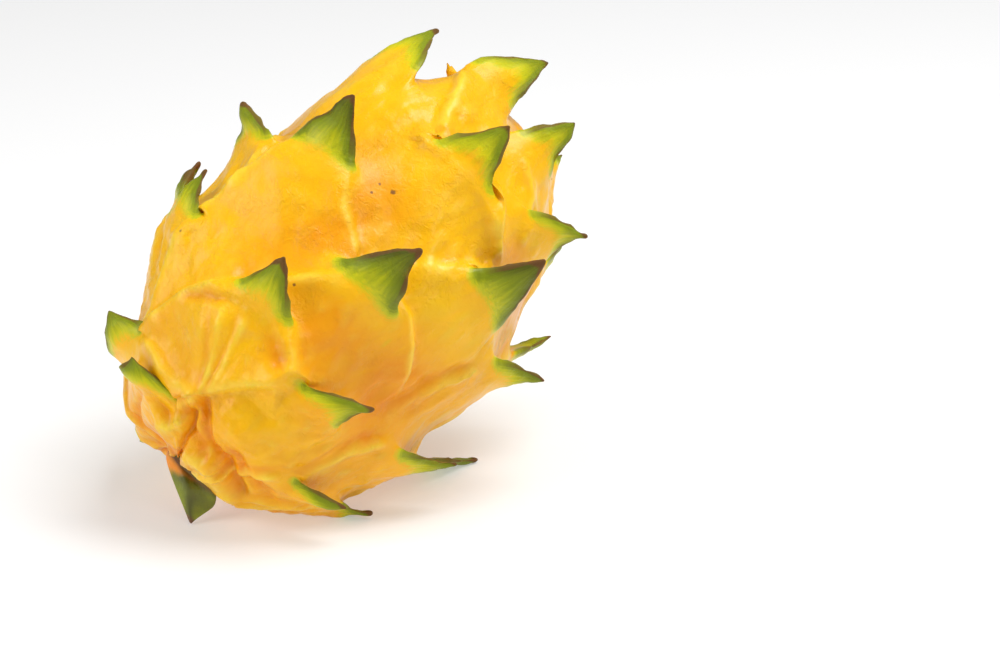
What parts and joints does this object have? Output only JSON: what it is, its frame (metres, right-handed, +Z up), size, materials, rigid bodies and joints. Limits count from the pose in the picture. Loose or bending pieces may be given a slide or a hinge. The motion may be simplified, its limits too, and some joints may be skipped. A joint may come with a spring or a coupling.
{
  "type": "dragon fruit",
  "caption": "Whole ripe yellow dragon fruit lying on its side, with pointed fleshy scales, a cut stem stub and a withered flower base.",
  "frame": {"origin": "on the table under the middle of the fruit's bounding box", "axes": "+Z up, +X towards the flower end as the fruit lies, which is raised, and the cut stem lies low towards -X"},
  "size_m": [0.1169, 0.0914, 0.0958],
  "materials": {
    "skin": "smooth waxy yellow skin, green towards the scale tips, satin gloss",
    "stem": "dark green rind round a pale brown woody core, matt, with a dark green glossy leaf",
    "husk": "dry brown withered petals, matt"
  },
  "bodies": {
    "root": {"fruit": "skin", "cut_stem": "stem", "dried_flower": "husk"}
  },
  "joints": []
}
